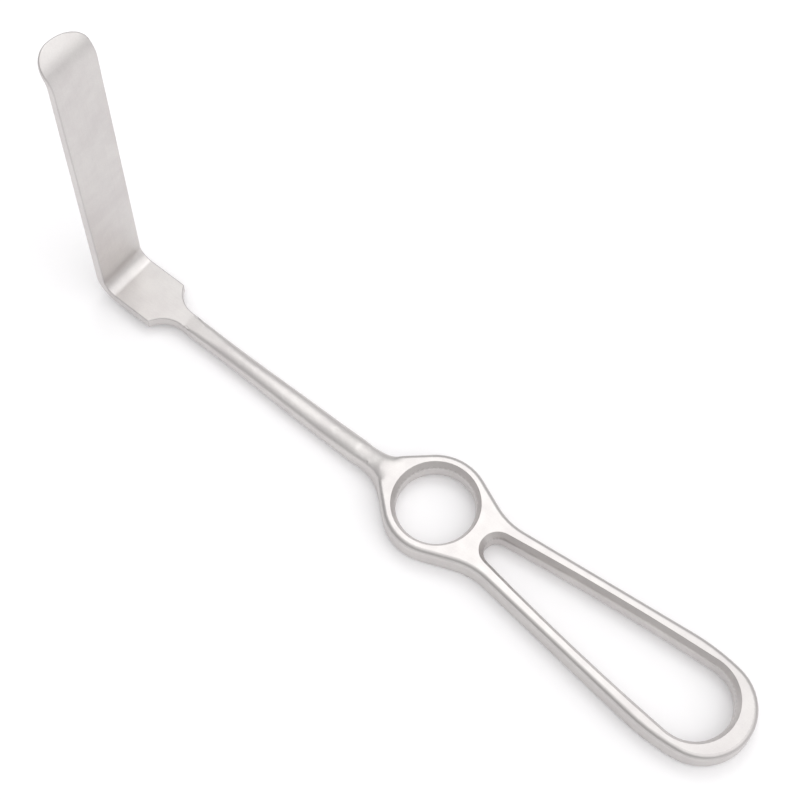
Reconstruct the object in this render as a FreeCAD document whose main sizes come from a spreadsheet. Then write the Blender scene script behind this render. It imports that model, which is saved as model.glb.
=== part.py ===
import FreeCAD, Part
import math
import os
import Sketcher

# Handheld retractor with a loop handle, a finger ring and one long blade, forged in one piece.
# It lies on the flat underside of its handle, with the blade standing up.
# Origin: middle of the web between the finger hole and the loop, on the underside.
# +X runs to the end of the loop, +Z is up. Lengths are in millimetres and angles in degrees.
# The sketches are drawn about the centre of the finger hole, and the body is then moved.

SIZES = {
    # handle slab
    "handle_thickness": 8.0,
    "handle_edge_round": 1.3,
    # finger ring
    "ring_hole_radius": 12.1,
    "ring_wall": 2.3,
    # opening of the loop
    "web_wall": 3.65,
    "loop_root_radius": 5.15,
    "loop_centres": 62.6,
    "loop_end_radius": 12.13,
    "loop_side_radius": 777.0,
    # outside of the loop
    "bow_side_wall": 3.15,
    "bow_corner_wall": 1.97,
    "bow_end_wall": 4.77,
    "bow_shoulder_radius": 60.0,
    # hollow between the ring and the loop
    "waist_angle": 22.8,
    "waist_radius": 19.0,
    # flare from the neck to the ring, and the neck
    "flare_angle": 42.3,
    "flare_radius": 9.5,
    "neck_width": 6.5,
    "neck_drop": 0.35,
    "neck_straight": 0.5,
    "neck_flat": 0.3,
    "neck_slope_length": 6.0,
    # bevel inside both openings, on the top and the underside
    "rim_bevel_width": 1.35,
    "rim_bevel_depth": 1.9,
    "rim_ridge_round": 2.0,
    # shaft, with its stations measured from the end of the neck
    "shaft_length": 66.8,
    "grip_station": 8.0,
    "grip_width": 6.5,
    "grip_bottom": 0.05,
    "grip_top": 6.8,
    "grip_round": 2.6,
    "middle_station": 31.0,
    "middle_width": 5.88,
    "middle_bottom": 0.35,
    "middle_top": 6.3,
    "middle_round": 2.35,
    "narrow_station": 54.0,
    "narrow_width": 5.3,
    "narrow_bottom": 1.0,
    "narrow_top": 6.15,
    "narrow_round": 2.0,
    "foot_station": 64.0,
    "foot_bottom": 1.35,
    "foot_cover": 0.1,
    "foot_round": 0.9,
    "sunk_length": 12.0,
    "sunk_width": 3.8,
    "sunk_cover": 0.45,
    "sunk_round": 0.4,
    # plate between the shaft and the bend
    "blade_width": 15.0,
    "plate_top": 5.65,
    "plate_thickness": 3.6,
    "plate_length": 15.9,
    "shoulder_radius": 8.5,
    "tongue_width": 4.9,
    # bend and blade
    "bend_inner_radius": 3.8,
    "bend_outer_radius": 7.0,
    "blade_lean": 0.83,
    "blade_run": 91.3,
    "blade_thickness": 2.85,
    "blade_edge_round": 0.35,
    # curled tip
    "curl_radius": 8.8,
    "curl_angle": 57.0,
    "curl_start_thickness": 2.2,
    "curl_back_radius": 7.3,
    "lip_length": 2.95,
    "lip_thickness": 1.2,
    "tip_round": 6.0,
    "tip_offset": 1.4,
}

# Extra length of the raw lip, which the rounding of the tip takes off again.
LIP_TRIM = 1.0

# How far a cutting outline runs past the metal that it cuts.
CLEAR = 2.0

# Coordinates closer than this count as the same place.
TOUCH = 0.01

# Where a face is probed, as a share of its run: off the middle, where a round end faces forward.
OFF_MIDDLE = 0.3

# Points at which an edge is tested, from one end to the other.
EDGE_PROBES = 5

# Largest corner round of a shaft section, as a share of its width and of its height.
CORNER_LIMIT = 0.45

doc = FreeCAD.newDocument("retractor")
sheet = doc.addObject("Spreadsheet::Sheet", "sizes")
for row, (alias, value) in enumerate(SIZES.items(), start=1):
    sheet.set(f"A{row}", alias)
    sheet.set(f"B{row}", str(value))
    sheet.setAlias(f"B{row}", alias)
doc.recompute()

body = doc.addObject("PartDesign::Body", "retractor")
body.Label = "retractor"
body.setExpression("Placement.Base.x", "-(sizes.ring_hole_radius + sizes.web_wall / 2)")


def size(alias):
    return float(sheet.get(alias))


def vec(x, y):
    return FreeCAD.Vector(x, y, 0)


def heading(degrees):
    """Unit vector at an angle from the first axis of a sketch."""
    return vec(math.cos(math.radians(degrees)), math.sin(math.radians(degrees)))


def mirrored(point):
    return vec(point.x, -point.y)


def meet(out_a, reach_a, out_b, reach_b):
    """Point that lies at a given reach along each of two directions."""
    cross = out_a.x * out_b.y - out_a.y * out_b.x
    x = (reach_a * out_b.y - reach_b * out_a.y) / cross
    y = (reach_b * out_a.x - reach_a * out_b.x) / cross
    return vec(x, y)


def new_sketch(name, role, offset=FreeCAD.Placement()):
    """Sketch on an origin plane of the body, moved along or turned from it by offset."""
    plane = next(f for f in body.Origin.OriginFeatures if f.Role == role)
    sketch = body.newObject("Sketcher::SketchObject", name)
    sketch.AttachmentSupport = [(plane, "")]
    sketch.MapMode = "FlatFace"
    sketch.AttachmentOffset = offset
    return sketch


def line(start, end):
    return Part.LineSegment(start, end)


def arc(start, centre, end):
    """Arc from start to end about centre, the short way round."""
    radius = (start - centre).Length
    middle = centre + ((start + end) * 0.5 - centre).normalize() * radius
    return Part.Arc(start, middle, end)


def meeting_ends(sketch, one, other):
    """Which end of each of two edges lies on the other edge."""
    def gap(pair):
        return (sketch.getPoint(one, pair[0]) - sketch.getPoint(other, pair[1])).Length

    return min([(1, 1), (1, 2), (2, 1), (2, 2)], key=gap)


def add_outline(sketch, edges, corners):
    """Closed outline. Its joints are smooth, except where an edge listed in corners starts."""
    first = sketch.GeometryCount
    for edge in edges:
        sketch.addGeometry(edge, False)
    for k in range(len(edges)):
        after = (k + 1) % len(edges)
        ends = meeting_ends(sketch, first + k, first + after)
        kind = "Coincident" if after in corners else "Tangent"
        sketch.addConstraint(Sketcher.Constraint(kind, first + k, ends[0], first + after, ends[1]))


def bind(sketch, kind, places, formula):
    """Dimension that follows the sheet."""
    value = sketch.evalExpression(formula)
    number = sketch.addConstraint(Sketcher.Constraint(kind, *places, float(value)))
    sketch.setExpression(f"Constraints[{number}]", formula)


def pick_edges(solid, wanted):
    """Names of the edges whose ends and middle all pass the test."""
    names = []
    for number, edge in enumerate(solid.Edges, start=1):
        low, high = edge.ParameterRange
        step = (high - low) / (EDGE_PROBES - 1)
        points = [edge.valueAt(low + step * k) for k in range(EDGE_PROBES)]
        if all(wanted(point) for point in points):
            names.append(f"Edge{number}")
    return names


def near(value, target):
    """Whether two coordinates are the same to a hundredth of a millimetre."""
    return abs(value - target) < TOUCH


# Plan of the handle, from the driving sizes: finger ring, web, loop opening and the bow around it.
ring_outer = size("ring_hole_radius") + size("ring_wall")
loop_root = vec(size("ring_hole_radius") + size("web_wall") + size("loop_root_radius"), 0)
loop_end = loop_root + vec(size("loop_centres"), 0)
root_radius = size("loop_root_radius")
end_radius = size("loop_end_radius")

# Straight side of the bow: it runs at one wall outside the common tangent of the opening's two ends.
side_angle = math.degrees(math.asin((end_radius - root_radius) / size("loop_centres")))
side_run = heading(side_angle)
side_out = heading(side_angle + 90)
side_point = loop_root + side_out * (root_radius + size("bow_side_wall"))

# Round end of the bow, and the shallow arc that leads into it from the straight side.
bow_radius = end_radius + size("bow_corner_wall")
bow_centre = loop_end + vec(end_radius + size("bow_end_wall") - bow_radius, 0)
shoulder_bow = size("bow_shoulder_radius")
depth = side_out.dot(side_point - bow_centre) - shoulder_bow
along = math.sqrt((shoulder_bow - bow_radius) ** 2 - depth ** 2)
shoulder_centre = bow_centre + side_out * depth - side_run * along
shoulder_start = shoulder_centre + side_out * shoulder_bow
shoulder_stop = bow_centre + (bow_centre - shoulder_centre).normalize() * bow_radius

# Hollow between the ring and the straight side.
waist_out = heading(90 - size("waist_angle"))
waist_top = waist_out * ring_outer
waist_radius = size("waist_radius")
reach_ring = waist_radius + ring_outer
reach_side = waist_radius + side_out.dot(side_point)
waist_centre = meet(waist_out, reach_ring, side_out, reach_side)
waist_start = waist_centre - waist_out * waist_radius
waist_stop = waist_centre - side_out * waist_radius

# Flare from the ring down to the neck.
flare_angle = size("flare_angle")
flare_radius = size("flare_radius")
neck_half = size("neck_width") / 2
flare_top = heading(90 + flare_angle) * ring_outer
flare_low_y = neck_half + flare_radius * (1 - math.cos(math.radians(flare_angle)))
flare_low_x = flare_top.x - (flare_top.y - flare_low_y) / math.tan(math.radians(flare_angle))
flare_low = vec(flare_low_x, flare_low_y)
flare_centre = flare_low + heading(90 + flare_angle) * flare_radius
flare_foot = vec(flare_centre.x, neck_half)
neck_end = flare_foot.x - size("neck_straight")

# Plate, bend and blade, seen from the side with X to the right and Z up.
shoulder_radius = size("shoulder_radius")
tongue_half = size("tongue_width") / 2
blade_half = size("blade_width") / 2
shoulder_foot_x = neck_end - size("shaft_length")
shoulder_side = tongue_half + shoulder_radius
corner_x = shoulder_foot_x - math.sqrt(shoulder_radius ** 2 - (shoulder_side - blade_half) ** 2)
tongue_end = neck_end - size("foot_station")
plate_top = size("plate_top")
plate_bottom = plate_top - size("plate_thickness")

lean = size("blade_lean")
inner = size("bend_inner_radius")
rising = 90 - lean
face_foot_x = corner_x - size("plate_length")
inner_centre = vec(face_foot_x + inner * math.cos(math.radians(lean)), plate_top + inner)
face_foot = inner_centre + heading(180 - lean) * inner
face_top = face_foot + heading(rising) * size("blade_run")
curl = size("curl_radius")
lip_heading = rising + size("curl_angle")
curl_centre = face_top + heading(rising + 90) * curl
face_curled = curl_centre + heading(lip_heading - 90) * curl
face_lip = face_curled + heading(lip_heading) * size("lip_length")

back_foot = face_foot + heading(rising + 90) * size("blade_thickness")
back_top = face_top + heading(rising + 90) * size("curl_start_thickness")
back_run = (back_top - back_foot).normalize()
back_out = vec(-back_run.y, back_run.x)

# The hollow side of the curl touches the back of the blade and the back of the lip.
lip_out = heading(lip_heading + 90)
lip_back = face_lip + lip_out * size("lip_thickness")
back_curl = size("curl_back_radius")
reach_back = back_out.dot(back_foot) + back_curl
reach_lip = lip_out.dot(lip_back) + back_curl
back_curl_centre = meet(back_out, reach_back, lip_out, reach_lip)
back_curl_start = back_curl_centre - back_out * back_curl
back_curl_stop = back_curl_centre - lip_out * back_curl

# The outer bend touches the underside of the plate and the back of the blade.
outer = size("bend_outer_radius")
reach_bend = back_out.dot(back_foot) - outer
outer_centre = meet(back_out, reach_bend, vec(0, 1), plate_bottom + outer)
outer_foot = vec(outer_centre.x, plate_bottom)
outer_back = outer_centre + back_out * outer


def blade_strip():
    """Plate, bend, blade and curled tip as one strip of constant width."""
    sketch = new_sketch("strip_side", "XZ_Plane")
    plate_start = vec(inner_centre.x, plate_top)
    tongue_top = vec(tongue_end, plate_top)
    tongue_bottom = vec(tongue_end, plate_bottom)
    past_lip = heading(lip_heading) * LIP_TRIM
    edges = [
        line(tongue_top, plate_start),
        arc(plate_start, inner_centre, face_foot),
        line(face_foot, face_top),
        arc(face_top, curl_centre, face_curled),
        line(face_curled, face_lip + past_lip),
        line(face_lip + past_lip, lip_back + past_lip),
        line(lip_back + past_lip, back_curl_stop),
        arc(back_curl_stop, back_curl_centre, back_curl_start),
        line(back_curl_start, outer_back),
        arc(outer_back, outer_centre, outer_foot),
        line(outer_foot, tongue_bottom),
        line(tongue_bottom, tongue_top),
    ]
    add_outline(sketch, edges, corners=(0, 5, 6, 11))
    bind(sketch, "Radius", (1,), "sizes.bend_inner_radius")
    bind(sketch, "Radius", (3,), "sizes.curl_radius")
    bind(sketch, "Radius", (9,), "sizes.bend_outer_radius")
    bind(sketch, "Distance", (2,), "sizes.blade_run")
    bind(sketch, "Radius", (7,), "sizes.curl_back_radius")
    bind(sketch, "Distance", (5,), "sizes.lip_thickness")
    bind(sketch, "Distance", (11,), "sizes.plate_thickness")
    strip = body.newObject("PartDesign::Pad", "strip")
    strip.Profile = sketch
    strip.SideType = "Symmetric"
    strip.setExpression("Length", "sizes.blade_width")
    return strip


def plate_shoulders():
    """Hollow shoulders that narrow the plate to the tongue the shaft grows from."""
    sketch = new_sketch("shoulder_plan", "XY_Plane")
    outside = blade_half + CLEAR
    past_end = tongue_end + CLEAR
    for side in (1, -1):
        corner = vec(corner_x, side * blade_half)
        foot = vec(shoulder_foot_x, side * tongue_half)
        centre = vec(shoulder_foot_x, side * shoulder_side)
        points = [foot, vec(past_end, side * tongue_half), vec(past_end, side * outside)]
        points += [vec(corner_x, side * outside), corner]
        edges = [line(a, b) for a, b in zip(points, points[1:])]
        first = sketch.GeometryCount
        add_outline(sketch, edges + [arc(corner, centre, foot)], corners=(1, 2, 3, 4))
        bind(sketch, "Radius", (first + len(edges),), "sizes.shoulder_radius")
    cut = body.newObject("PartDesign::Pocket", "shoulders")
    cut.Profile = sketch
    cut.Type = "ThroughAll"
    cut.SideType = "Symmetric"
    return cut


def quarter_ellipse(side, corner, crest):
    """Exact quarter of an ellipse from side to crest, inside the corner of its two tangents."""
    curve = Part.BSplineCurve()
    weights = [1.0, math.sqrt(0.5), 1.0]
    curve.buildFromPolesMultsKnots([side, corner, crest], [3, 3], [0.0, 1.0], False, 2, weights)
    return curve


def round_tip():
    """Round end of the lip, cut square to it. Its crest lies a little off the middle."""
    turn = FreeCAD.Rotation(FreeCAD.Vector(0, 1, 0), 180 - lip_heading)
    place = FreeCAD.Vector(face_lip.x, 0, face_lip.y)
    sketch = new_sketch("tip_plan", "XY_Plane", FreeCAD.Placement(place, turn))
    crest = vec(0, -size("tip_offset"))
    side = vec(size("tip_round"), blade_half)
    corner = vec(0, blade_half)
    beyond = vec(-LIP_TRIM - CLEAR, blade_half + CLEAR)
    outside = vec(side.x, beyond.y)
    points = [mirrored(side), mirrored(outside), mirrored(beyond), beyond, outside, side]
    edges = [line(a, b) for a, b in zip(points, points[1:])]
    edges.append(quarter_ellipse(side, corner, crest))
    edges.append(quarter_ellipse(crest, mirrored(corner), mirrored(side)))
    add_outline(sketch, edges, corners=range(len(edges)))
    cut = body.newObject("PartDesign::Pocket", "tip")
    cut.Profile = sketch
    cut.Type = "ThroughAll"
    cut.SideType = "Symmetric"
    return cut


def faces_sideways(face):
    """Whether a face is a side wall: the broad faces of the strip never lean to the side."""
    low_u, high_u, low_v, high_v = face.ParameterRange
    u = low_u + (high_u - low_u) * OFF_MIDDLE
    v = low_v + (high_v - low_v) * OFF_MIDDLE
    normal = face.normalAt(u, v)
    return abs(normal.y) > TOUCH


def ease_strip_edges():
    """Small round between the broad faces and the side walls of the strip, and on its two corners."""
    solid = body.Tip.Shape
    names = pick_edges(solid, lambda point: near(point.x, corner_x) and near(abs(point.y), blade_half))
    for name in pick_edges(solid, lambda point: point.x < tongue_end + TOUCH):
        edge = solid.getElement(name)
        walls = [faces_sideways(face) for face in solid.ancestorsOfType(edge, Part.Face)]
        if sorted(walls) == [False, True] and not near(edge.CenterOfMass.x, tongue_end):
            names.append(name)
    base = body.Tip
    ease = body.newObject("PartDesign::Fillet", "strip_edges")
    ease.Base = (base, names)
    ease.setExpression("Radius", "sizes.blade_edge_round")
    return ease


def handle_slab():
    """Plan of the ring and the loop, from the neck round the end of the bow and back."""
    sketch = new_sketch("handle_plan", "XY_Plane")
    bow_tip = bow_centre + vec(bow_radius, 0)
    neck_top = vec(neck_end, neck_half)
    upper = [
        line(neck_top, flare_foot),
        arc(flare_foot, flare_centre, flare_low),
        line(flare_low, flare_top),
        arc(flare_top, vec(0, 0), waist_top),
        line(waist_top, waist_start),
        arc(waist_start, waist_centre, waist_stop),
        line(waist_stop, shoulder_start),
        arc(shoulder_start, shoulder_centre, shoulder_stop),
    ]
    lower = [
        arc(mirrored(shoulder_stop), mirrored(shoulder_centre), mirrored(shoulder_start)),
        line(mirrored(shoulder_start), mirrored(waist_stop)),
        arc(mirrored(waist_stop), mirrored(waist_centre), mirrored(waist_start)),
        line(mirrored(waist_start), mirrored(waist_top)),
        arc(mirrored(waist_top), vec(0, 0), mirrored(flare_top)),
        line(mirrored(flare_top), mirrored(flare_low)),
        arc(mirrored(flare_low), mirrored(flare_centre), mirrored(flare_foot)),
        line(mirrored(flare_foot), mirrored(neck_top)),
    ]
    bow_end = Part.Arc(shoulder_stop, bow_tip, mirrored(shoulder_stop))
    neck_face = line(mirrored(neck_top), neck_top)
    edges = upper + [bow_end] + lower + [neck_face]
    add_outline(sketch, edges, corners=(0, len(edges) - 1))
    bind(sketch, "Radius", (1,), "sizes.flare_radius")
    bind(sketch, "Radius", (3,), "sizes.ring_hole_radius + sizes.ring_wall")
    bind(sketch, "Radius", (5,), "sizes.waist_radius")
    bind(sketch, "Radius", (7,), "sizes.bow_shoulder_radius")
    bind(sketch, "Radius", (8,), "sizes.loop_end_radius + sizes.bow_corner_wall")
    bind(sketch, "Distance", (0,), "sizes.neck_straight")
    bind(sketch, "Distance", (len(edges) - 1,), "sizes.neck_width")
    slab = body.newObject("PartDesign::Pad", "handle")
    slab.Profile = sketch
    slab.setExpression("Length", "sizes.handle_thickness")
    return slab


def neck_slope():
    """One long arc rolls the flat top over, down to a short flat at the end of the neck."""
    sketch = new_sketch("slope_side", "XZ_Plane")
    drop = size("neck_drop")
    length = size("neck_slope_length")
    top = size("handle_thickness")
    radius = (length ** 2 + drop ** 2) / (2 * drop)
    foot = vec(neck_end + size("neck_flat"), top - drop)
    crest = foot + vec(length, drop)
    above = vec(0, CLEAR)
    beyond = vec(neck_end - CLEAR, foot.y)
    points = [crest, crest + above, vec(beyond.x, crest.y) + above, beyond, foot]
    edges = [line(a, b) for a, b in zip(points, points[1:])]
    edges.append(arc(foot, crest - vec(0, radius), crest))
    add_outline(sketch, edges, corners=range(len(edges)))
    cut = body.newObject("PartDesign::Pocket", "neck_slope")
    cut.Profile = sketch
    cut.Type = "ThroughAll"
    cut.SideType = "Symmetric"
    return cut


def ease_handle_edges():
    """Round along the outside of the handle, top and underside, up to the end of the neck."""
    top = size("handle_thickness")
    low = top - size("neck_drop")

    def outer_edge(point):
        rim = near(point.z, 0) or point.z > low - TOUCH
        return rim and point.x > neck_end - TOUCH

    solid = body.Tip.Shape
    names = []
    for name in pick_edges(solid, outer_edge):
        edge = solid.getElement(name)
        faces = solid.ancestorsOfType(edge, Part.Face)
        upright = [face for face in faces if abs(face.normalAt(0, 0).z) < TOUCH]
        if len(upright) == 1 and not near(edge.CenterOfMass.x, neck_end):
            names.append(name)
    base = body.Tip
    ease = body.newObject("PartDesign::Fillet", "handle_edges")
    ease.Base = (base, names)
    ease.setExpression("Radius", "sizes.handle_edge_round")
    return ease


def openings():
    """Throats of the finger hole and the loop, one bevel inside their rims."""
    sketch = new_sketch("openings_plan", "XY_Plane")
    bevel = size("rim_bevel_width")
    ring_throat = size("ring_hole_radius") - bevel
    sketch.addGeometry(Part.Circle(vec(0, 0), FreeCAD.Vector(0, 0, 1), ring_throat), False)
    bind(sketch, "Radius", (0,), "sizes.ring_hole_radius - sizes.rim_bevel_width")

    side_radius = size("loop_side_radius")
    from_root = side_radius - root_radius
    from_end = side_radius - end_radius
    span = size("loop_centres")
    side_x = loop_root.x + (from_root ** 2 - from_end ** 2 + span ** 2) / (2 * span)
    side_y = math.sqrt(from_root ** 2 - (side_x - loop_root.x) ** 2)
    side_centre = vec(side_x, -side_y)
    root_touch = loop_root + (loop_root - side_centre).normalize() * (root_radius - bevel)
    end_touch = loop_end + (loop_end - side_centre).normalize() * (end_radius - bevel)
    edges = [
        arc(root_touch, side_centre, end_touch),
        Part.Arc(end_touch, loop_end + vec(end_radius - bevel, 0), mirrored(end_touch)),
        arc(mirrored(end_touch), mirrored(side_centre), mirrored(root_touch)),
        Part.Arc(mirrored(root_touch), loop_root - vec(root_radius - bevel, 0), root_touch),
    ]
    add_outline(sketch, edges, corners=())
    bind(sketch, "Radius", (2,), "sizes.loop_end_radius - sizes.rim_bevel_width")
    bind(sketch, "Radius", (4,), "sizes.loop_root_radius - sizes.rim_bevel_width")
    cut = body.newObject("PartDesign::Pocket", "openings")
    cut.Profile = sketch
    cut.Type = "ThroughAll"
    cut.SideType = "Symmetric"
    return cut


def inside_openings(point):
    """Whether a point lies on the wall of the finger hole or of the loop's opening."""
    if math.hypot(point.x, point.y) < size("ring_hole_radius") + TOUCH:
        return True
    along_loop = point.x - loop_root.x
    if not -root_radius - TOUCH < along_loop < size("loop_centres") + end_radius + TOUCH:
        return False
    share = min(max(along_loop / size("loop_centres"), 0), 1)
    half_width = root_radius + (end_radius - root_radius) * share
    return abs(point.y) < half_width + size("bow_side_wall") / 2


def bevel_rims():
    """Bevel from each rim down to the throat, on the top and the underside."""
    top = size("handle_thickness")

    def on_rim(point):
        return (near(point.z, 0) or near(point.z, top)) and inside_openings(point)

    solid = body.Tip.Shape
    rims = pick_edges(solid, on_rim)
    base = body.Tip
    bevel = body.newObject("PartDesign::Chamfer", "rim_bevels")
    bevel.Base = (base, rims)
    bevel.ChamferType = "Two distances"
    bevel.setExpression("Size", "sizes.rim_bevel_width")
    bevel.setExpression("Size2", "sizes.rim_bevel_depth")
    return bevel


def ease_bevel_ridges():
    """Round where each bevel meets the wall of the throat."""
    depth = size("rim_bevel_depth")
    top = size("handle_thickness")

    def on_ridge(point):
        return (near(point.z, depth) or near(point.z, top - depth)) and inside_openings(point)

    solid = body.Tip.Shape
    ridges = pick_edges(solid, on_ridge)
    base = body.Tip
    ease = body.newObject("PartDesign::Fillet", "bevel_ridges")
    ease.Base = (base, ridges)
    ease.setExpression("Radius", "sizes.rim_ridge_round")
    return ease


def shaft_section(name, distance, width, bottom, top, corner):
    """Rounded rectangle across the shaft, at a distance from the end of the neck."""
    place = FreeCAD.Placement(FreeCAD.Vector(0, 0, neck_end - distance), FreeCAD.Rotation())
    sketch = new_sketch(name, "YZ_Plane", place)
    half = width / 2
    corner = min(corner, width * CORNER_LIMIT, (top - bottom) * CORNER_LIMIT)
    flat = half - corner
    low = bottom + corner
    high = top - corner
    edges = [
        line(vec(-flat, top), vec(flat, top)),
        arc(vec(flat, top), vec(flat, high), vec(half, high)),
        line(vec(half, high), vec(half, low)),
        arc(vec(half, low), vec(flat, low), vec(flat, bottom)),
        line(vec(flat, bottom), vec(-flat, bottom)),
        arc(vec(-flat, bottom), vec(-flat, low), vec(-half, low)),
        line(vec(-half, low), vec(-half, high)),
        arc(vec(-half, high), vec(-flat, high), vec(-flat, top)),
    ]
    add_outline(sketch, edges, corners=())
    return sketch


def shaft():
    """Shaft from the neck to the plate, which it enters below the plate's top."""
    neck_top = size("handle_thickness") - size("neck_drop")
    cover = size("foot_cover")
    sunk = size("sunk_cover")
    sections = [shaft_section("root", 0, size("neck_width"), 0, neck_top, size("handle_edge_round"))]
    for name in ("grip", "middle", "narrow"):
        values = [size(f"{name}_{part}") for part in ("station", "width", "bottom", "top", "round")]
        section = shaft_section(name, *values)
        bind(section, "DistanceX", (6, 1, 2, 1), f"sizes.{name}_width")
        sections.append(section)
    foot = (size("tongue_width") + 2 * cover, size("foot_bottom"), plate_top + cover, size("foot_round"))
    sections.append(shaft_section("foot", size("foot_station"), *foot))
    inside = (size("sunk_width"), plate_bottom + sunk, plate_top - sunk, size("sunk_round"))
    end_station = size("foot_station") + size("sunk_length")
    sections.append(shaft_section("inside_plate", end_station, *inside))
    loft = body.newObject("PartDesign::AdditiveLoft", "shaft")
    loft.Profile = sections[0]
    loft.Sections = sections[1:]
    loft.Ruled = False
    return loft


def report_state():
    """Stop with a message when a feature failed or the piece isn't one valid solid."""
    doc.recompute()
    for item in doc.Objects:
        if "Invalid" in item.State or "Error" in item.State:
            raise RuntimeError(f"{item.Name}: {item.getStatusString()}")
    shape = body.Shape
    if shape.isNull() or not shape.isValid() or len(shape.Solids) != 1:
        raise RuntimeError("the retractor is not one valid solid")
    box = shape.optimalBoundingBox(False)
    print("retractor:", round(shape.Volume), "mm3,", len(shape.Faces), "faces")
    print("extent:", [round(value, 2) for value in (box.XLength, box.YLength, box.ZLength)])


FEATURES = (
    blade_strip,
    plate_shoulders,
    round_tip,
    ease_strip_edges,
    handle_slab,
    neck_slope,
    ease_handle_edges,
    openings,
    bevel_rims,
    ease_bevel_ridges,
    shaft,
)

for feature in FEATURES:
    body.Tip = feature()
    doc.recompute()

report_state()
os.makedirs("parts", exist_ok=True)
body.Shape.exportStep("parts/retractor.step")
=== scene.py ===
# %% [markdown]
# # A handheld retractor with a loop handle
# The tool is one forging of stainless steel: a long blade stands up from a slim shaft, and the
# handle is a finger ring with an open loop behind it. It lies on its flat underside on a pale
# table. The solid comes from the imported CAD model, so this script gives it a smooth skin, the
# finish of satin steel, and the light of a product photograph.

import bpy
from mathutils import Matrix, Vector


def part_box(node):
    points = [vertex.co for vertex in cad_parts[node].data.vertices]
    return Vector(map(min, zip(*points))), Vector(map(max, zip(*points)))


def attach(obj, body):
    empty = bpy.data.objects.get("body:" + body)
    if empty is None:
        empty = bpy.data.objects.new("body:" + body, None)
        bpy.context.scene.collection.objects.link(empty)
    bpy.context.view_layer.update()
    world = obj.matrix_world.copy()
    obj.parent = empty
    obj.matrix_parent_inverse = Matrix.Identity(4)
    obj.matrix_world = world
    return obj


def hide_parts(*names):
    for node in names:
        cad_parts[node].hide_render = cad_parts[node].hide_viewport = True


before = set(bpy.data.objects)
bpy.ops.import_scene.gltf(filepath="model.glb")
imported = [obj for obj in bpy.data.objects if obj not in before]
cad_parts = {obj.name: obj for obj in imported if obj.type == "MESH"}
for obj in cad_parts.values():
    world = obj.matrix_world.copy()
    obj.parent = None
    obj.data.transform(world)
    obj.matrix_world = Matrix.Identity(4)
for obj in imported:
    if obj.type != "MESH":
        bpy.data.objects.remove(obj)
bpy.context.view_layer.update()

# %% What the lesson works with
import math

import bmesh
import bpy
import numpy as np
from mathutils import Vector
from mathutils.bvhtree import BVHTree

MM = 0.001
low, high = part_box("retractor")
print("solid, mm:", [round((b - a) / MM, 1) for a, b in zip(low, high)])

# %% [markdown]
# ## The steel body
# A CAD mesh comes as loose triangles. Light would show each of them as a facet, and steel shows
# facets more than any other material. The triangles could be smoothed by subdivision, but that
# would also melt the crisp rims of the two openings. So a copy is merged into one skin, its
# rounded edges are shaded smoothly, and only the edges that a file would feel stay sharp.

# %% Merge the loose triangles into one skin
SAME_PLACE = 0.002 * MM

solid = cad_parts["retractor"]
body = bpy.data.objects.new("steel_body", solid.data.copy())
bpy.context.scene.collection.objects.link(body)

skin = bmesh.new()
skin.from_mesh(body.data)
bmesh.ops.remove_doubles(skin, verts=skin.verts, dist=SAME_PLACE)


def open_edges(mesh):
    """How many edges don't have exactly two faces; a closed skin has none."""
    return sum(not edge.is_manifold for edge in mesh.edges)


print("skin:", len(skin.faces), "faces,", open_edges(skin), "open edges")

# %% [markdown]
# ## The dressed shaft
# On the real tool the shaft is dressed on a soft belt after forging, which leaves one even swell
# from end to end and blends it into the ring with no line. The CAD mesh has long thin triangles
# there, and each would bend the highlight. A new shaft could be swept along its sections, but it
# would have to be joined to the ring and the plate. So the same skin gets small triangles over
# the shaft first, and its points are evened out after that.

# %% Small triangles over the shaft
SHAFT_START = -102 * MM
SHAFT_STOP = -27.5 * MM
FINE_EDGE = 1.2 * MM
HALVINGS = 4


def over_shaft(place):
    """Whether a point lies on the shaft or its neck."""
    return SHAFT_START < place.x < SHAFT_STOP


for _ in range(HALVINGS):
    long_edges = [edge for edge in skin.edges if edge.calc_length() > FINE_EDGE
                  and over_shaft((edge.verts[0].co + edge.verts[1].co) / 2)]
    bmesh.ops.subdivide_edges(skin, edges=long_edges, cuts=1)
    bmesh.ops.triangulate(skin, faces=[face for face in skin.faces if len(face.verts) > 3])
print("skin with small triangles over the shaft:", len(skin.faces), "faces")

# %% Merge the points that crowd where the shaft grows out of the handle
CROWD_START = -37 * MM
CROWD_STOP = -34.5 * MM
CROWDED = 0.30 * MM


def merge_crowded(mesh, start, stop):
    """Merge points that crowd together, and take out the faces that this folds flat."""
    crowd = [vert for vert in mesh.verts if start < vert.co.x < stop]
    bmesh.ops.remove_doubles(mesh, verts=crowd, dist=CROWDED)
    mesh.verts.index_update()
    twins = {}
    for face in mesh.faces:
        twins.setdefault(frozenset(vert.index for vert in face.verts), []).append(face)
    folded = [face for faces in twins.values() if len(faces) > 1 for face in faces]
    bmesh.ops.delete(mesh, geom=folded, context="FACES")
    flaps = [face for face in mesh.faces if any(edge.is_boundary for edge in face.edges)]
    bmesh.ops.delete(mesh, geom=flaps, context="FACES")


merge_crowded(skin, CROWD_START, CROWD_STOP)
print("skin after merging:", len(skin.faces), "faces,", open_edges(skin), "open edges")

# %% [markdown]
# ## Evening the points out
# A belt takes off what stands proud. Here each point steps towards the middle of its neighbours,
# in or out of the skin, and a slightly larger step back keeps the thickness. Before that, the
# points slide along the skin until they are evenly spaced, because uneven spacing would leave
# waves of its own.

# %% Steps towards the middle of the neighbours
skin.verts.index_update()
skin.normal_update()
outwards = np.array([vert.normal for vert in skin.verts])
points = np.array([vert.co for vert in skin.verts])
pairs = np.array([[vert.index for vert in edge.verts] for edge in skin.edges])
neighbours = np.bincount(pairs.ravel(), minlength=len(points))[:, None]
print("points:", len(points), "with", round(float(neighbours.mean()), 1), "neighbours each")


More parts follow.
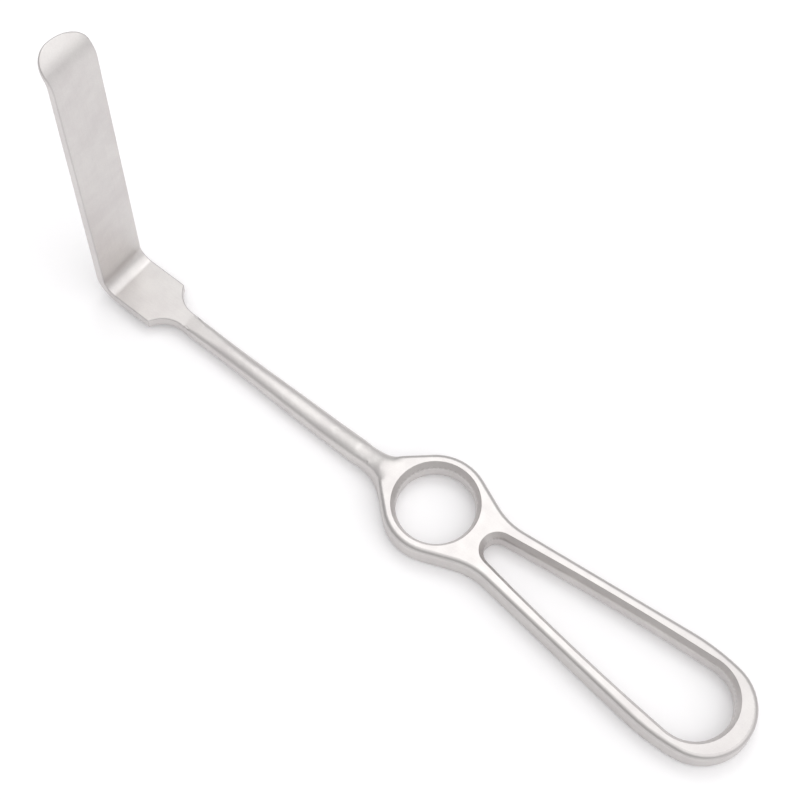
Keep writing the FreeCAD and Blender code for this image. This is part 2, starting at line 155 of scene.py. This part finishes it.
def to_middle(places):
    """Step from each point to the middle of the points around it."""
    total = np.zeros_like(places)
    np.add.at(total, pairs[:, 0], places[pairs[:, 1]])
    np.add.at(total, pairs[:, 1], places[pairs[:, 0]])
    return total / neighbours - places


def in_or_out(step):
    """The part of a step that goes in or out of the skin."""
    return outwards * (step * outwards).sum(1, keepdims=True)


# %% Slide along the skin, and dress it
STEP_SHARE = 0.5


def slide(places, weight, rounds):
    """Space the points evenly along the skin, without a step in or out."""
    for _ in range(rounds):
        step = to_middle(places)
        places = places + STEP_SHARE * weight * (step - in_or_out(step))
    return places


def dress(places, weight, rounds, back):
    """Even the points out; back is how much of each step the next one takes back."""
    for _ in range(rounds):
        places = places + STEP_SHARE * weight * in_or_out(to_middle(places))
        places = places - STEP_SHARE * back * weight * in_or_out(to_middle(places))
    return places


def fade(value, start, stop):
    """Smooth rise from 0 at start to 1 at stop, or a fall where stop is the lower one."""
    share = np.clip((value - start) / (stop - start), 0, 1)
    return share * share * (3 - 2 * share)


# %% [markdown]
# ## One even swell
# Steps between neighbours take out short waves only. The long ones would still show as beads in
# the highlight. A hand that draws the shaft along the belt evens those too, so the distance of
# the skin from the shaft's axis is fitted with one smooth function: a few terms along the shaft
# times a few terms round it. The function is too calm to follow a bead, and it keeps the swell.

# %% The distance from the axis as one smooth function
SWELL_START = -98 * MM
SWELL_STOP = -36.2 * MM
SWELL_BLEND = 5 * MM
AXIS_HEIGHT = 3.5 * MM
SWELL_TERMS = 8
ROUND_TERMS = 7


def even_swell(places):
    """Put the shaft's points on the smooth function, which fades out at both ends."""
    inside = (places[:, 0] > SWELL_START) & (places[:, 0] < SWELL_STOP)
    span, side, rise = (places[inside] - [0, 0, AXIS_HEIGHT]).T
    angle = np.arctan2(rise, side)
    radius = np.hypot(rise, side)
    share = 2 * (span - SWELL_START) / (SWELL_STOP - SWELL_START) - 1
    swell = np.polynomial.chebyshev.chebvander(share, SWELL_TERMS)
    turns = [np.cos(k * angle) for k in range(ROUND_TERMS)]
    turns += [np.sin(k * angle) for k in range(1, ROUND_TERMS)]
    basis = (swell[:, :, None] * np.array(turns).T[:, None, :]).reshape(len(span), -1)
    factors = np.linalg.lstsq(basis, radius, rcond=None)[0]
    near_start = fade(span, SWELL_START, SWELL_START + SWELL_BLEND)
    near_stop = fade(span, SWELL_STOP, SWELL_STOP - SWELL_BLEND)
    grow = 1 + near_start * near_stop * (basis @ factors / radius - 1)
    evened = places.copy()
    evened[inside, 1] = side * grow
    evened[inside, 2] = rise * grow + AXIS_HEIGHT
    return evened


# %% Dress the shaft, and melt its neck into the ring
# The neck gets no step back, so its edges melt away and the shaft grows out of the ring.
END_FADE = 4 * MM
NECK_START = -42 * MM
NECK_FULL = -36 * MM
SLIDE_ROUNDS = 12
BELT_ROUNDS = 40
BELT_BACK = 1.04
NECK_ROUNDS = 32
NECK_BACK = 0.0

x = points[:, :1]
before_ring = fade(x, SHAFT_STOP, SHAFT_STOP - END_FADE)
belt = fade(x, SHAFT_START, SHAFT_START + END_FADE) * before_ring
loose = fade(x, SHAFT_START + END_FADE, SHAFT_START + 2 * END_FADE) * belt
neck = fade(x, NECK_START, NECK_FULL) * before_ring

dressed = slide(points, loose, SLIDE_ROUNDS)
dressed = dress(dressed, belt, BELT_ROUNDS, BELT_BACK)
dressed = even_swell(dressed)
dressed = dress(dressed, neck, NECK_ROUNDS, NECK_BACK)
dressed[:, 2] = np.maximum(dressed[:, 2], 0)

before = BVHTree.FromBMesh(skin)
moved = max(before.find_nearest(point)[3] for point in dressed)
print("dressing took off or added up to, mm:", round(moved / MM, 2))
for vert, point in zip(skin.verts, dressed):
    vert.co = point

# %% Smooth shading between sharp edges
SHARP_ANGLE = math.radians(48)

skin.normal_update()
for face in skin.faces:
    face.smooth = True
for edge in skin.edges:
    dressed_edge = all(over_shaft(vert.co) for vert in edge.verts)
    edge.smooth = dressed_edge or edge.calc_face_angle(0.0) < SHARP_ANGLE
print("sharp edges:", sum(not edge.smooth for edge in skin.edges))
skin.to_mesh(body.data)
skin.free()

# %% Let flat faces keep their own shading beside rounded edges
weigh = body.modifiers.new("flat_faces_win", "WEIGHTED_NORMAL")
weigh.mode = "FACE_AREA_WITH_ANGLE"
weigh.weight = 50
weigh.keep_sharp = True
print("normals weighed by:", weigh.mode)

# %% [markdown]
# ## Satin stainless steel
# The real finish is made by blasting polished steel with fine glass beads, then easing the
# edges on a soft wheel. To the eye it is a pale warm grey with no clear mirror image: broad,
# soft highlights, a faint cloudiness one or two centimetres across, and a grain of about a
# tenth of a millimetre. A painted grey would miss how the edges and hollows change with the
# light, so the material is a metal whose roughness and bump carry the finish.

# %% Helpers for node trees
def linear(hex_colour):
    """sRGB hex colour as the linear values that Blender computes with."""
    channels = [int(hex_colour[i:i + 2], 16) / 255 for i in (1, 3, 5)]
    return [c / 12.92 if c <= 0.04045 else ((c + 0.055) / 1.055) ** 2.4 for c in channels] + [1.0]


def add(tree, kind, settings=None, **links):
    """Node with its settings; links are by socket name, or i and the socket's number."""
    node = tree.nodes.new(kind)
    for name, value in (settings or {}).items():
        setattr(node, name, value)
    for name, value in links.items():
        numbered = name[0] == "i" and name[1:].isdigit()
        socket = node.inputs[int(name[1:])] if numbered else node.inputs[name]
        if isinstance(value, bpy.types.NodeSocket):
            tree.links.new(value, socket)
        else:
            socket.default_value = value
    return node


# %% Edge polish: faces that turn tightly
# A soft wheel reaches the rounded edges first. How tightly the skin turns is the angle between
# two faces over the distance between their middles, across the edge that they share. The shaft
# is slim, so it turns tightly all round, but the belt has left it as matt as a broad face.
GENTLE_TURN = 0.35 / MM
TIGHT_TURN = 0.90 / MM
POLISH_FADE = 8 * MM


def edge_polish_and_painted_reflection(mesh):
    """Face attribute: 0 on broad faces and the shaft, 1 on tightly rounded edges."""
    probe = bmesh.new()
    probe.from_mesh(mesh)
    turn = np.zeros(len(probe.faces))
    for edge in probe.edges:
        if edge.is_convex and edge.calc_face_angle() < SHARP_ANGLE:
            middle = (edge.verts[0].co + edge.verts[1].co) / 2
            along = (edge.verts[1].co - edge.verts[0].co).normalized()
            apart = 0.0
            for face in edge.link_faces:
                reach = face.calc_center_median() - middle
                apart += (reach - along * reach.dot(along)).length
            bend = edge.calc_face_angle() / max(apart, SAME_PLACE)
            for face in edge.link_faces:
                turn[face.index] = max(turn[face.index], bend)
    x = np.array([face.calc_center_median().x for face in probe.faces])
    probe.free()
    after_plate = fade(x, SHAFT_START, SHAFT_START + END_FADE)
    before_neck = fade(x, SHAFT_STOP, SHAFT_STOP - POLISH_FADE)
    polish = fade(turn, GENTLE_TURN, TIGHT_TURN) * (1 - after_plate * before_neck)
    # The same mask also darkens the colour of these edges later, as a painted dark reflection.
    layer = mesh.attributes.new("edge_polish_and_painted_reflection", "FLOAT", "FACE")
    layer.data.foreach_set("value", polish.astype(np.float32))
    return polish


polish = edge_polish_and_painted_reflection(body.data)
print("faces on polished edges:", int((polish > 0.5).sum()), "of", len(polish))

# %% Steel, its cloudiness and its colour
CLOUD = 16 * MM
MOTTLE = 4 * MM
CLOUD_SHARE = 0.6
TONE_LOW = 0.36
TONE_HIGH = 0.64
STEEL_DULL = "#D0CCCB"
STEEL_CLEAR = "#D6D3D1"

satin = bpy.data.materials.new("stainless_steel_bead_blasted")
satin.use_nodes = True
steel = satin.node_tree
shader = steel.nodes["Principled BSDF"]
shader.inputs["Metallic"].default_value = 1.0
place = add(steel, "ShaderNodeTexCoord").outputs["Object"]

clouds = add(steel, "ShaderNodeTexNoise", {"noise_dimensions": "3D"}, Vector=place,
             Scale=1 / CLOUD, Detail=3.0, Roughness=0.55).outputs["Fac"]
mottle = add(steel, "ShaderNodeTexNoise", {"noise_dimensions": "3D"}, Vector=place,
             Scale=1 / MOTTLE, Detail=4.0, Roughness=0.6).outputs["Fac"]
mottle_part = add(steel, "ShaderNodeMath", {"operation": "MULTIPLY"},
                  i0=mottle, i1=1 - CLOUD_SHARE).outputs[0]
tone = add(steel, "ShaderNodeMath", {"operation": "MULTIPLY_ADD"},
           i0=clouds, i1=CLOUD_SHARE, i2=mottle_part).outputs[0]
clearness = add(steel, "ShaderNodeMapRange", i0=tone, i1=TONE_LOW, i2=TONE_HIGH, i3=0.0, i4=1.0)
colour = add(steel, "ShaderNodeMix", {"data_type": "RGBA"}, i0=clearness.outputs["Result"],
             i6=linear(STEEL_DULL), i7=linear(STEEL_CLEAR)).outputs[2]
print("steel between", STEEL_DULL, "and", STEEL_CLEAR)

# %% Grain of the blasting, and the lines of the belt under it
# Glass beads leave dimples of about 0.08 mm, too fine to show, so the grain is drawn at 0.35 mm.
# The belt's own lines are about 0.1 mm wide, and are drawn at 0.5 mm for the same reason.
GRAIN = 0.35 * MM
LINE_WIDTH = 0.5 * MM
LINE_LENGTH = 14 * MM
BEND_HEIGHT = 8.4 * MM
BLADE_HEIGHT = 12 * MM

grain = add(steel, "ShaderNodeTexNoise", {"noise_dimensions": "3D"}, Vector=place,
            Scale=1 / GRAIN, Detail=2.0, Roughness=0.6).outputs["Fac"]


def belt_lines(length_axis):
    """Streaks of noise, long in one direction and narrow across it."""
    stretch = [1 / LINE_WIDTH] * 3
    stretch[length_axis] = 1 / LINE_LENGTH
    squeezed = add(steel, "ShaderNodeMapping", Vector=place, Scale=stretch).outputs["Vector"]
    return add(steel, "ShaderNodeTexNoise", {"noise_dimensions": "3D"}, Vector=squeezed,
               Scale=1.0, Detail=3.0, Roughness=0.55).outputs["Fac"]


height = add(steel, "ShaderNodeSeparateXYZ", i0=place).outputs["Z"]
on_blade = add(steel, "ShaderNodeMapRange", i0=height, i1=BEND_HEIGHT, i2=BLADE_HEIGHT,
               i3=0.0, i4=1.0).outputs["Result"]
lines = add(steel, "ShaderNodeMix", {"data_type": "FLOAT"}, i0=on_blade,
            i2=belt_lines(0), i3=belt_lines(2)).outputs[0]
print("lines run along the tool, and up the blade from, mm:", round(BLADE_HEIGHT / MM, 1))

# %% Colour: specks, streaks and a painted dark reflection on the edges
# A polished edge mirrors the darker parts of a room, and a bright tent has none. So a painted
# dark reflection makes the edges a little darker than the faces.
NOISE_LOW = 0.3
NOISE_HIGH = 0.7
SPECK = 0.025
STREAK = 0.015
PAINTED_EDGE_REFLECTION = 0.14

polish_and_painted_reflection = add(steel, "ShaderNodeAttribute", {"attribute_name": "edge_polish_and_painted_reflection"}).outputs["Fac"]
speck = add(steel, "ShaderNodeMapRange", i0=grain, i1=NOISE_LOW, i2=NOISE_HIGH,
            i3=1 - SPECK, i4=1 + SPECK).outputs["Result"]
streak = add(steel, "ShaderNodeMapRange", i0=lines, i1=NOISE_LOW, i2=NOISE_HIGH,
             i3=1 - STREAK, i4=1 + STREAK).outputs["Result"]
face_shade = add(steel, "ShaderNodeMath", {"operation": "MULTIPLY"}, i0=speck, i1=streak).outputs[0]
# Painted dark reflection: the base colour of the rounded edges is darkened.
painted_edge_reflection = add(steel, "ShaderNodeMath", {"operation": "MULTIPLY_ADD"},
                 i0=polish_and_painted_reflection, i1=-PAINTED_EDGE_REFLECTION, i2=1.0).outputs[0]
shade = add(steel, "ShaderNodeMath", {"operation": "MULTIPLY"},
            i0=face_shade, i1=painted_edge_reflection).outputs[0]
tinted = add(steel, "ShaderNodeVectorMath", {"operation": "SCALE"}, i0=colour, Scale=shade)
steel.links.new(tinted.outputs["Vector"], shader.inputs["Base Color"])
print("edges darker by", PAINTED_EDGE_REFLECTION)

# %% Roughness: blasted faces, smoother edges
ROUGH_DULL = 0.425
ROUGH_CLEAR = 0.40
EDGE_SMOOTHER = 0.07
LINE_ROUGHER = 0.06

faces_rough = add(steel, "ShaderNodeMapRange", i0=tone, i1=TONE_LOW, i2=TONE_HIGH,
                  i3=ROUGH_DULL, i4=ROUGH_CLEAR).outputs["Result"]
edges_rough = add(steel, "ShaderNodeMath", {"operation": "MULTIPLY_ADD"},
                  i0=polish_and_painted_reflection, i1=-EDGE_SMOOTHER, i2=faces_rough).outputs[0]
rough = add(steel, "ShaderNodeMath", {"operation": "MULTIPLY_ADD"},
            i0=lines, i1=LINE_ROUGHER, i2=edges_rough).outputs[0]
steel.links.new(rough, shader.inputs["Roughness"])
print("roughness of the faces between", ROUGH_CLEAR, "and", ROUGH_DULL, "plus the lines")

# %% Relief: beads, belt and hand
# Each bump has the depth of its marks, and its strength says how much of them shows.
BEAD_DEPTH = 0.05 * MM
LINE_DEPTH = 0.08 * MM
HAND_DEPTH = 0.30 * MM
FAINT = 0.10
FAINTEST = 0.02

beads = add(steel, "ShaderNodeBump", Strength=FAINT, Distance=BEAD_DEPTH,
            Height=grain).outputs["Normal"]
relief = add(steel, "ShaderNodeBump", Strength=FAINT, Distance=LINE_DEPTH,
             Height=lines, Normal=beads).outputs["Normal"]
hand = add(steel, "ShaderNodeBump", Strength=FAINTEST, Distance=HAND_DEPTH,
           Height=mottle, Normal=relief).outputs["Normal"]
steel.links.new(hand, shader.inputs["Normal"])
print("steel nodes:", len(steel.nodes))

# %% Dress the body in its steel
# The CAD node that the skin stands for is hidden, so its plain material goes.
solid.data.materials.clear()
body.data.materials.clear()
body.data.materials.append(satin)

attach(body, "root")
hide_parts("retractor")
print(body.name, "wears", satin.name)

# %% [markdown]
# ## Table
# A product photograph like this is taken on white card. The card fills the whole view, so it is
# a plain matt floor, and light that it throws back fills the tool's low sides. In the picture
# the card is pure white. Stronger lamps could do that, but they would bleach the steel too. So
# the lamps stay as they are, and the card is lifted a little where the camera sees it, straight
# or mirrored in the steel.

# %% White card
CARD_HALF = 3.0
CARD_WHITE = "#FBFAFB"
CARD_LIFT = 0.06

corners = [(i * CARD_HALF, j * CARD_HALF, 0) for i, j in ((-1, -1), (1, -1), (1, 1), (-1, 1))]
floor_mesh = bpy.data.meshes.new("table_card")
floor_mesh.from_pydata(corners, [], [(0, 1, 2, 3)])
floor = bpy.data.objects.new("table_card", floor_mesh)
bpy.context.scene.collection.objects.link(floor)

card = bpy.data.materials.new("white_card_matt")
card.use_nodes = True
card_tree = card.node_tree
card_shader = card_tree.nodes["Principled BSDF"]
card_shader.inputs["Base Color"].default_value = linear(CARD_WHITE)
card_shader.inputs["Roughness"].default_value = 1.0
card_shader.inputs["Specular IOR Level"].default_value = 0.0
card_shader.inputs["Emission Color"].default_value = linear("#FFFFFF")
ray = add(card_tree, "ShaderNodeLightPath").outputs
seen = ray["Is Camera Ray"]
for mirrored in ("Is Glossy Ray", "Is Transmission Ray"):
    seen = add(card_tree, "ShaderNodeMath", {"operation": "MAXIMUM"},
               i0=seen, i1=ray[mirrored]).outputs[0]
lift = add(card_tree, "ShaderNodeMath", {"operation": "MULTIPLY"}, i0=seen, i1=CARD_LIFT)
card_tree.links.new(lift.outputs[0], card_shader.inputs["Emission Strength"])
floor_mesh.materials.append(card)
print("card, m:", 2 * CARD_HALF, "lifted by", CARD_LIFT)

# %% [markdown]
# ## Light
# Bright metal is photographed in a white tent, because it shows whatever stands around it. The
# tent is the world: one level all round, with three broad glows where lamps shine through its
# cloth, overhead, on the right and far behind. One softbox above and behind the tool gives the
# soft shadow on the near side.

# %% White tent
TENT_LEVEL = 0.53
TENT_GLOW = {
    "overhead": ((0.0, 0.0, 1.0), 0.62),
    "right_wall": ((0.63, 0.11, 0.77), 0.87),
    "far_wall": ((-0.15, 0.85, 0.50), 0.13),
}
GLOW_FOCUS = 4.0

world = bpy.data.worlds.new("studio_tent")
bpy.context.scene.world = world
world.use_nodes = True
tent = world.node_tree
direction = add(tent, "ShaderNodeTexCoord").outputs["Generated"]
level = TENT_LEVEL
for cloth, (towards, strength) in TENT_GLOW.items():
    facing = add(tent, "ShaderNodeVectorMath", {"operation": "DOT_PRODUCT"}, i0=direction,
                 i1=Vector(towards).normalized()).outputs["Value"]
    front = add(tent, "ShaderNodeMath", {"operation": "MAXIMUM"}, i0=facing, i1=0.0).outputs[0]
    glow = add(tent, "ShaderNodeMath", {"operation": "POWER"}, i0=front, i1=GLOW_FOCUS).outputs[0]
    level = add(tent, "ShaderNodeMath", {"operation": "MULTIPLY_ADD"},
                i0=glow, i1=strength, i2=level).outputs[0]
    print(cloth, "adds up to", strength)
tent.links.new(level, tent.nodes["Background"].inputs["Strength"])
tent.nodes["Background"].inputs["Color"].default_value = linear("#FFFFFF")

# %% Softbox
SOFTBOX_PLACE = Vector((-0.21, 0.27, 0.80))
SOFTBOX_AIM = Vector((-0.014, 0.0, 0.0))
SOFTBOX_SIDE = 0.26
SOFTBOX_RADIANCE = 2.8

lamp = bpy.data.lights.new("overhead_softbox", "AREA")
lamp.shape = "SQUARE"
lamp.size = SOFTBOX_SIDE
lamp.energy = SOFTBOX_RADIANCE * math.pi * SOFTBOX_SIDE ** 2
softbox = bpy.data.objects.new("overhead_softbox", lamp)
softbox.location = SOFTBOX_PLACE
softbox.rotation_euler = (SOFTBOX_AIM - SOFTBOX_PLACE).to_track_quat("-Z", "Y").to_euler()
bpy.context.scene.collection.objects.link(softbox)
print("softbox power, W:", round(lamp.energy, 1))

# %% [markdown]
# ## Camera
# The photograph looks down on the tool over the near side of its handle, at about 64 degrees
# above the table and from about half a metre, through a moderately long lens.

# %% Camera
CAMERA_PLACE = Vector((0.102209, -0.156620, 0.476714))
CAMERA_AIM = Vector((-0.040348, 0.017280, 0.008))
SENSOR_WIDTH = 36
LENS = 86.456

camera_data = bpy.data.cameras.new("camera")
camera_data.sensor_width = SENSOR_WIDTH
camera_data.lens = LENS
camera = bpy.data.objects.new("camera", camera_data)
camera.location = CAMERA_PLACE
camera.rotation_euler = (CAMERA_AIM - CAMERA_PLACE).to_track_quat("-Z", "Y").to_euler()
bpy.context.scene.collection.objects.link(camera)
bpy.context.scene.camera = camera
bpy.context.scene.view_settings.view_transform = "Standard"
print("camera to tool, m:", round((CAMERA_AIM - CAMERA_PLACE).length, 2))
